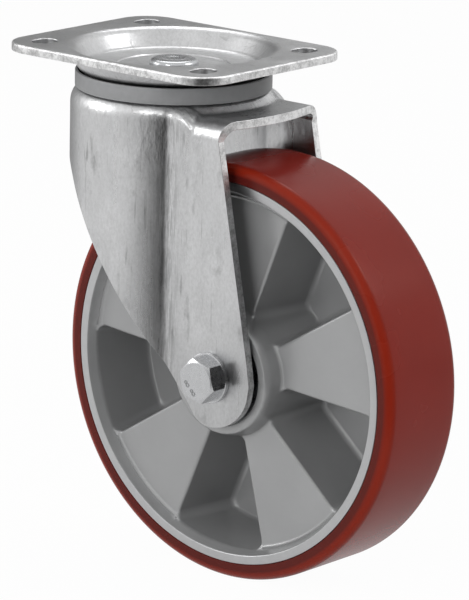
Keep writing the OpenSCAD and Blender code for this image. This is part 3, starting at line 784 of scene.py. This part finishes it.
def skin_height(r):
    """Height of the casting's skin over the wheel's mid plane."""
    for (r0, z0), (r1, z1) in zip(SECTION[:-1], SECTION[1:]):
        if r0 <= r <= r1:
            return z0 + (z1 - z0) * (r - r0) / (r1 - r0)
    return SECTION[0][1] if r < SECTION[0][0] else SECTION[-1][1]


def pocket_loop(wall_in):
    """Outline of a pocket whose walls stand in by wall_in from the mouth's outline."""
    corner, side_steps, outer_steps, inner_steps, corner_steps = 4.5, 14, 24, 8, 8
    h = math.radians(HALF_POCKET)
    off = wall_in + corner
    r_out = POCKET_OUT - wall_in * 0.5 - corner
    r_in = POCKET_IN + wall_in * 0.5 + corner
    along = np.array([math.cos(h), math.sin(h)])
    inward = np.array([math.sin(h), -math.cos(h)])
    c_out = math.sqrt(r_out * r_out - off * off) * along + off * inward
    c_in = math.sqrt(r_in * r_in - off * off) * along + off * inward
    a_out = math.degrees(math.atan2(c_out[1], c_out[0]))
    a_in = math.degrees(math.atan2(c_in[1], c_in[0]))
    side_a = math.degrees(h) + 90
    half = arc(c_in, corner, a_in + 180, side_a, corner_steps)
    end = arc(c_out, corner, side_a, a_out, corner_steps)
    a, b = half[-1], end[0]
    half += [a + (b - a) * k / side_steps for k in range(1, side_steps)]
    half += end
    r1, t1 = np.linalg.norm(half[-1]), math.degrees(math.atan2(half[-1][1], half[-1][0]))
    r0, t0 = np.linalg.norm(half[0]), math.degrees(math.atan2(half[0][1], half[0][0]))
    top = [polar(r1, t1 * (1 - 2 * k / outer_steps)) for k in range(1, outer_steps)]
    low = [polar(r0, -t0 * (1 - 2 * k / inner_steps)) for k in range(1, inner_steps)]
    back = [np.array([p[0], -p[1]]) for p in half[::-1]]
    return half + top + back + low


def pocket_rows():
    """Rows of points from the rounded mouth, which follows the skin, down to the floor."""
    foot = FLOOR + POCKET_FILLET
    foot_in = DRAFT * (PANEL - foot)
    base = pocket_loop(0.0)
    # The walls carried on upwards, to meet the skin where it rises to hub and rim
    tall_rise = 5.0
    tall = pocket_loop(-DRAFT * tall_rise)
    mouth, edge, wall = [], [], []
    for p, q in zip(base, tall):
        lo, hi = 0.0, 1.0
        for _ in range(30):
            mid = (lo + hi) / 2
            spot = p + (q - p) * mid
            if PANEL + tall_rise * mid < skin_height(float(np.linalg.norm(spot))):
                lo = mid
            else:
                hi = mid
        spot = p + (q - p) * lo
        z = skin_height(float(np.linalg.norm(spot)))
        out = (q - p) / np.linalg.norm(q - p)
        far = spot + out * POCKET_EDGE
        far_z = skin_height(float(np.linalg.norm(far)))
        rise = abs(far_z - z)
        if rise > POCKET_EDGE:
            far = spot + out * POCKET_EDGE * POCKET_EDGE / rise
            far_z = skin_height(float(np.linalg.norm(far)))
        edge.append((spot, z))
        mouth.append((far, far_z))
        wall.append((spot - out * DRAFT * POCKET_EDGE, z - POCKET_EDGE))
    rows = []
    for t in np.linspace(0, 1, 6):
        row = []
        for (a, az), (m, mz), (b, bz) in zip(mouth, edge, wall):
            xy = (1 - t) ** 2 * a + 2 * t * (1 - t) * m + t * t * b
            row.append((xy, (1 - t) ** 2 * az + 2 * t * (1 - t) * mz + t * t * bz))
        rows.append(row)
    bottom = pocket_loop(foot_in)
    for t in np.linspace(0, 1, 6)[1:]:
        rows.append([(p + (q - p) * t, z + (foot - z) * t) for (p, z), q in zip(wall, bottom)])
    for t in np.linspace(0, math.pi / 2, 9)[1:]:
        loop = pocket_loop(foot_in + POCKET_FILLET * (1 - math.cos(t)))
        rows.append([(p, foot - POCKET_FILLET * math.sin(t)) for p in loop])
    return rows


def turned(points, a, side):
    c, s = math.cos(math.radians(a)), math.sin(math.radians(a))
    return [about_axle((p[0] * c - p[1] * s, p[0] * s + p[1] * c, side * z)) for p, z in points]


def inside(point, loop):
    x, y = point
    hit = False
    for (x0, y0), (x1, y1) in zip(loop, loop[1:] + loop[:1]):
        if (y0 > y) != (y1 > y) and x < (x1 - x0) * (y - y0) / (y1 - y0) + x0:
            hit = not hit
    return hit


def within_pitch(degrees, first_angle):
    """Angle from the middle of the nearest pocket."""
    return (degrees - first_angle + PITCH / 2) % PITCH - PITCH / 2


def casting_skin(s, side, first_angle, n):
    """The skin of one side between the pockets, from the hub's end to the turned ring."""
    rows = pocket_rows()
    pocket = [tuple(p) for p, _ in rows[0]]
    mouths = []
    for i in range(POCKETS):
        a = first_angle + i * PITCH
        ids = s.rows([turned(r, a, side) for r in rows], close=True)
        s.face(ids[-1])
        c, sn = math.cos(math.radians(a)), math.sin(math.radians(a))
        mouths.append([(x * c - y * sn, x * sn + y * c) for x, y in pocket])
    r_in, r_out = SECTION[0][0], SECTION[-1][0]
    pts, edges = [], []

    def add_loop(loop):
        start = len(pts)
        pts.extend(Vector(p) for p in loop)
        edges.extend((start + k, start + (k + 1) % len(loop)) for k in range(len(loop)))

    add_loop([polar(r_out, 360 * k / n) for k in range(n)])
    add_loop([polar(r_in, 360 * k / n) for k in range(n)])
    for m in mouths:
        add_loop(m)
    outline = np.array([p for m in mouths for p in m])
    for r, _ in SECTION[1:-1]:
        for k in range(n):
            p = polar(r, 360 * k / n)
            if inside(polar(r, within_pitch(360 * k / n, first_angle)), pocket):
                continue
            if np.min(np.hypot(outline[:, 0] - p[0], outline[:, 1] - p[1])) < CLEAR_OF_MOUTH:
                continue
            pts.append(Vector(p))
    out, _, tris, _, _, _ = geometry.delaunay_2d_cdt(pts, edges, [], 0, 1e-5)
    ids = s.add([about_axle((p.x, p.y, side * skin_height(p.length))) for p in out])
    for t in tris:
        mid = sum((out[k] for k in t), Vector((0, 0))) / 3
        r = mid.length
        turn = within_pitch(math.degrees(math.atan2(mid.y, mid.x)), first_angle)
        if r_in * 0.9995 <= r <= r_out and not inside(polar(r, turn), pocket):
            s.face([ids[k] for k in t])


def wheel_shape():
    s = Shape()
    n = 240
    for side in (1, -1):
        casting_skin(s, side, WEB_ANGLE + (PITCH / 2 if side > 0 else 0), n)
        rim_rows = [SECTION[-1], (88.0, HALF_WIDTH), (91.7, HALF_WIDTH), (TREAD_R, HALF_WIDTH - 0.3)]
        revolve(s, [(r, side * z) for r, z in rim_rows], n, mats=[1, 1, 1])
        hub_rows = [SECTION[0], (24.6, HUB_END), (23.9, 28.6), (BORE_R, 28.2)]
        hub_rows += [(BORE_R, SHOULDER_Z), (SHOULDER_R, SHOULDER_Z), (SHOULDER_R, 0.0)]
        revolve(s, [(r, side * z) for r, z in hub_rows], n, mats=[0, 0] + [1] * 4)
    revolve(s, [(TREAD_R, HALF_WIDTH - 0.3), (TREAD_R, -HALF_WIDTH + 0.3)], n)
    return s


wheel = build("wheel_casting", wheel_shape(), "wheel_body", [ALU, RIM], 50, "wheel_rim")
even_normals(wheel)


def tyre_shape():
    s = Shape()
    r, c, half, bond = WHEEL_R, 4.5, HALF_WIDTH, TREAD_R
    profile = [(bond, -half + 0.5), (bond + 0.4, -half), (r - c, -half)]
    profile += [tuple(p) for p in arc((r - c, -half + c), c, -90, 0, 12)[1:]]
    profile += [(r, -12), (r, 0), (r, 12)]
    profile += [tuple(p) for p in arc((r - c, half - c), c, 0, 90, 12)]
    profile += [(bond + 0.4, half), (bond, half - 0.5)]
    revolve(s, profile, 256, close=True)
    return s


build("tread_ring", tyre_shape(), "wheel_body", [TREAD], 40, "tyre")

# Axle bolt, washers, nut

WASHER_Z = 35.5
HEAD_Z = 38.0
HEAD_END = 45.5
FLATS = 19.0
HEX_TURN = 105.0
BEVEL_R = 8.9
BEVEL_SLOPE = 0.42
FIGURE_SIZE = 3.3
FIGURE_TURN = 40
FIGURE_PLACES = ((-5.5, -2.1), (-1.8, -5.7))
FIGURE_SINK = 0.1
WIRE_R = 0.36
SHANK_R = 5.97
SHANK_ROOT = 38.5
SHANK_TIP = -51.5
TIP_R = 5.2
TIP_RISE = 0.6


def along_axle(rows):
    """Rows of (radius, angle, height) about the axle as rows of points."""
    return [[about_axle((*polar(r, a), z)) for r, a, z in row] for row in rows]


def bolt_head(s):
    """Hexagon with a round bevel at its outer end."""
    n = 96
    angles = [360 * k / n for k in range(n)]

    def hex_r(a):
        return FLATS / 2 / math.cos(math.radians((a - HEX_TURN) % 60 - 30))

    rows = [[(hex_r(a), a, HEAD_Z) for a in angles]]
    rows.append([(hex_r(a), a, HEAD_END - max(0.0, hex_r(a) - BEVEL_R) * BEVEL_SLOPE) for a in angles])
    rows.append([(BEVEL_R, a, HEAD_END) for a in angles])
    ids = s.rows(along_axle(rows), close=True)
    s.face(ids[-1])
    s.face(ids[0])


def eight(s, cx, cy, z):
    """A raised figure of two rings."""
    ca, sa = polar(1, FIGURE_TURN)
    for oy, r in ((FIGURE_SIZE * 0.27, FIGURE_SIZE * 0.22), (-FIGURE_SIZE * 0.24, FIGURE_SIZE * 0.27)):
        rows = []
        for k in range(20):
            t = 2 * math.pi * k / 20
            ring = []
            for j in range(6):
                u = 2 * math.pi * j / 6
                away = r + WIRE_R * math.cos(u)
                x, y = away * math.cos(t) * 0.9, oy + away * math.sin(t)
                height = z + WIRE_R * math.sin(u)
                ring.append(about_axle((cx + x * ca - y * sa, cy + x * sa + y * ca, height)))
            rows.append(ring)
        rows.append(rows[0])
        s.rows(rows, close=True, mat=1)


def bolt_shape():
    s = Shape()
    bolt_head(s)
    tip = [(SHANK_R, SHANK_TIP + TIP_RISE), (TIP_R, SHANK_TIP), (0, SHANK_TIP)]
    revolve(s, [(0, SHANK_ROOT), (SHANK_R, SHANK_ROOT)] + tip, 48)
    for cx, cy in FIGURE_PLACES:
        eight(s, cx, cy, HEAD_END - FIGURE_SINK)
    return s


build("bolt_detail", bolt_shape(), "fork_body", [BOLT, SHADED_FIGURES], 17, "axle_bolt")


def washer(side):
    s = Shape()
    z0, z1, r0, r1, e = WASHER_Z, HEAD_Z, 6.5, 12.0, 0.3
    profile = [(r0, z0), (r1 - e, z0), (r1, z0 + e), (r1, z1 - e), (r1 - e, z1), (r0 + e, z1), (r0, z1 - e)]
    revolve(s, [(r, side * z) for r, z in profile], 96, close=True)
    return s


build("washer_near", washer(1), "fork_body", [BOLT], 40, "bolt_washer")
build("washer_far", washer(-1), "fork_body", [BOLT], 40, "nut_washer")

# CAD nodes that are shown as they are

PLAIN = {
    BOLT: ["axle_nut", "axle_bolt", "bolt_washer", "nut_washer"],
    ZINC_PLATE: ["lower_race", "top_plate"],
    ZINC: ["fork"],
    PIN: ["king_pin"],
    SEAL: ["dust_seal"],
    ALU: ["wheel_rim"],
    TREAD: ["tyre"],
    STEEL: ["upper_swivel_balls", "lower_swivel_balls", "axle_tube", "bearing_spacer"],
    RUBBER: [],
    BRASS: [],
}
for side in ("near_", "far_"):
    PLAIN[STEEL] += [side + part for part in ("inner_ring", "outer_ring", "distance_bush", "bearing_balls")]
    PLAIN[RUBBER].append(side + "bearing_seals")
    PLAIN[BRASS].append(side + "ball_cage")
for material, names in PLAIN.items():
    for name in names:
        data = nodes[name].data
        data.materials.clear()
        data.materials.append(material)
        smooth(data, 30)

# Camera

camera_data = bpy.data.cameras.new("camera")
camera_data.lens = 254.343
camera_data.sensor_width = 36
camera_data.clip_start = 0.05
camera_data.clip_end = 20
camera_data.dof.use_dof = False
camera = add_object("camera", camera_data)
# Direction from the object to the camera, and where the camera's axis passes the middle of the object
AZIMUTH = math.radians(220.5793)
ELEVATION = math.radians(14.3558)
ROLL = math.radians(1.2077)
DISTANCE = 2.01859
MIDDLE = Vector((0, -0.025, -0.11))
ASIDE = 0.01184
BELOW = 0.00953


def camera_matrix():
    level = Vector((-math.sin(AZIMUTH), math.cos(AZIMUTH), 0))
    out = Vector((math.cos(AZIMUTH), math.sin(AZIMUTH), 0))
    back = math.cos(ELEVATION) * out + math.sin(ELEVATION) * Vector((0, 0, 1))
    right = math.cos(ROLL) * level + math.sin(ROLL) * back.cross(level)
    up = back.cross(right)
    place = MIDDLE + ASIDE * right - BELOW * up + DISTANCE * back
    return Matrix.Translation(place) @ Matrix((right, up, back)).transposed().to_4x4()


camera.matrix_world = camera_matrix()
bpy.context.scene.camera = camera

# Floor, light, world

FLOOR_Z = -0.2452
CARD_FOOT = -0.244
WHITE_SHARE = 0.97
MIRRORED_SHARE = 0.6


def white_seen(tree, mirrored_share):
    """How far a ray sees the white backdrop: camera and clear things in full, reflections by a share."""
    path = tree.node("ShaderNodeLightPath")
    seen = tree.math("MULTIPLY_ADD", (path, "Is Glossy Ray"), mirrored_share, (path, "Is Camera Ray"))
    return tree.math("ADD", seen, (path, "Is Transmission Ray"), clamp=True)


floor_mesh = bpy.data.meshes.new("floor")
floor_corners = [(x, y, FLOOR_Z) for x, y in ((-6, -6), (6, -6), (6, 6), (-6, 6))]
floor_mesh.from_pydata(floor_corners, [], [(0, 1, 2, 3)])
floor = add_object("floor", floor_mesh)
fm = Nodes("floor_white")
grey = fm.mix(fm.noise(fm.coords(), 3, 2, 0.5), (0.58, 0.58, 0.58), (0.62, 0.62, 0.62))
matt = fm.node("ShaderNodeBsdfDiffuse", {"Color": grey})
white = fm.node("ShaderNodeEmission", {"Color": (1, 1, 1), "Strength": 1.0})
# Reflections show the white floor too, with the object's shadow on it
share = fm.math("MULTIPLY", white_seen(fm, MIRRORED_SHARE), WHITE_SHARE)
floor_mix = fm.node("ShaderNodeMixShader", {0: share, 1: (matt, 0), 2: (white, 0)})
floor_mesh.materials.append(fm.output(floor_mix))

CENTRE = (0, -0.03, -0.12)


def area(name, place, size, power, mirrored=True):
    """A square lamp turned to the object; mirrored says whether reflections show it."""
    data = bpy.data.lights.new(name, "AREA")
    data.energy = power
    data.shape = "RECTANGLE"
    data.size = data.size_y = size
    obj = add_object(name, data)
    obj.location = place
    obj.rotation_euler = (Vector(CENTRE) - Vector(place)).to_track_quat("-Z", "Y").to_euler()
    obj.visible_glossy = mirrored


area("key", (-1.0, 1.35, 0.55), 0.7, 7)
area("right", (0.9, -1.2, 1.1), 0.8, 7)
area("top", (0.7, 0.7, 1.2), 0.9, 6)
area("fill", (-1.5, -0.15, 0.0), 1.0, 20, mirrored=False)
area("side_fill", (-0.9, -1.2, 0.85), 1.0, 8, mirrored=False)
area("front", (-1.48, -0.29, 0.66), 0.5, 5)

# Grey of the cards beside the object by azimuth: a dark side behind the camera, and one behind the object
SHADES = [(0.0, 0.62), (0.035, 0.36), (0.062, 0.04), (0.095, 0.0), (0.135, 0.0), (0.17, 0.05), (0.25, 0.40)]
SHADES += [(0.33, 0.95), (0.54, 0.9), (0.60, 0.38), (0.645, 0.18), (0.72, 0.38)]
SHADES += [(0.80, 0.95), (0.94, 0.97), (1.0, 0.66)]

cm = Nodes("grey_card")
shade = cm.ramp(cm.azimuth(cm.split((cm.node("ShaderNodeTexCoord"), "Object"))), SHADES)
CARD = cm.output(cm.node("ShaderNodeEmission", {"Color": shade, "Strength": 1.0}))


def card(name, start, end, radius, top):
    """A curved grey card round the object from one azimuth to another, seen only in reflections."""
    steps = 40
    turns = [polar(radius, start + (end - start) * k / steps) for k in range(steps + 1)]
    faces = [(k, k + 1, steps + k + 2, steps + k + 1) for k in range(steps)]
    mesh = bpy.data.meshes.new(name)
    mesh.from_pydata([(x, y, z) for z in (CARD_FOOT, top) for x, y in turns], [], faces)
    mesh.materials.append(CARD)
    obj = add_object(name, mesh)
    obj.location = (CENTRE[0], CENTRE[1], 0)
    obj.visible_camera = obj.visible_diffuse = obj.visible_transmission = obj.visible_shadow = False


card("front_card", 160.0, 300.0, 0.32, 0.12)
card("back_card", 12.0, 105.0, 0.6, 0.45)

world = Nodes("studio", world=True)
bpy.context.scene.world = world.mat
sky = world.split((world.node("ShaderNodeTexCoord"), "Generated"))
# Light that the walls throw on the object all round, with a dark side behind the camera
WALLS = [(0.0, 0.62), (0.035, 0.36), (0.062, 0.04), (0.095, 0.0), (0.135, 0.0), (0.17, 0.05), (0.25, 0.40)]
WALLS += [(0.33, 0.70), (0.40, 0.85), (0.5, 0.7), (0.61, 0.5), (0.645, 0.25), (0.72, 0.45)]
WALLS += [(0.80, 0.88), (0.865, 1.22), (0.90, 1.15), (0.954, 1.04), (1.0, 0.66)]
# Share of it from below to above
LIFT = [(0.0, 0.22), (0.20, 0.38), (0.36, 0.92), (0.45, 1.0), (0.6, 0.95), (0.72, 0.8)]
LIFT += [(0.82, 0.9), (0.90, 0.55), (1.0, 0.35)]
rise = world.ramp(world.math("MULTIPLY_ADD", (sky, 2), 0.5, 0.5), LIFT)
walls = world.mix(1.0, world.ramp(world.azimuth(sky), WALLS), rise, "MULTIPLY")
# The camera, reflections and clear things see the white backdrop
colour = world.mix(white_seen(world, 1.0), walls, (1, 1, 1))
backdrop = world.node("ShaderNodeBackground", {"Color": colour, "Strength": 1.0})
world.output(backdrop, "ShaderNodeOutputWorld")

bpy.context.scene.view_settings.view_transform = "Standard"
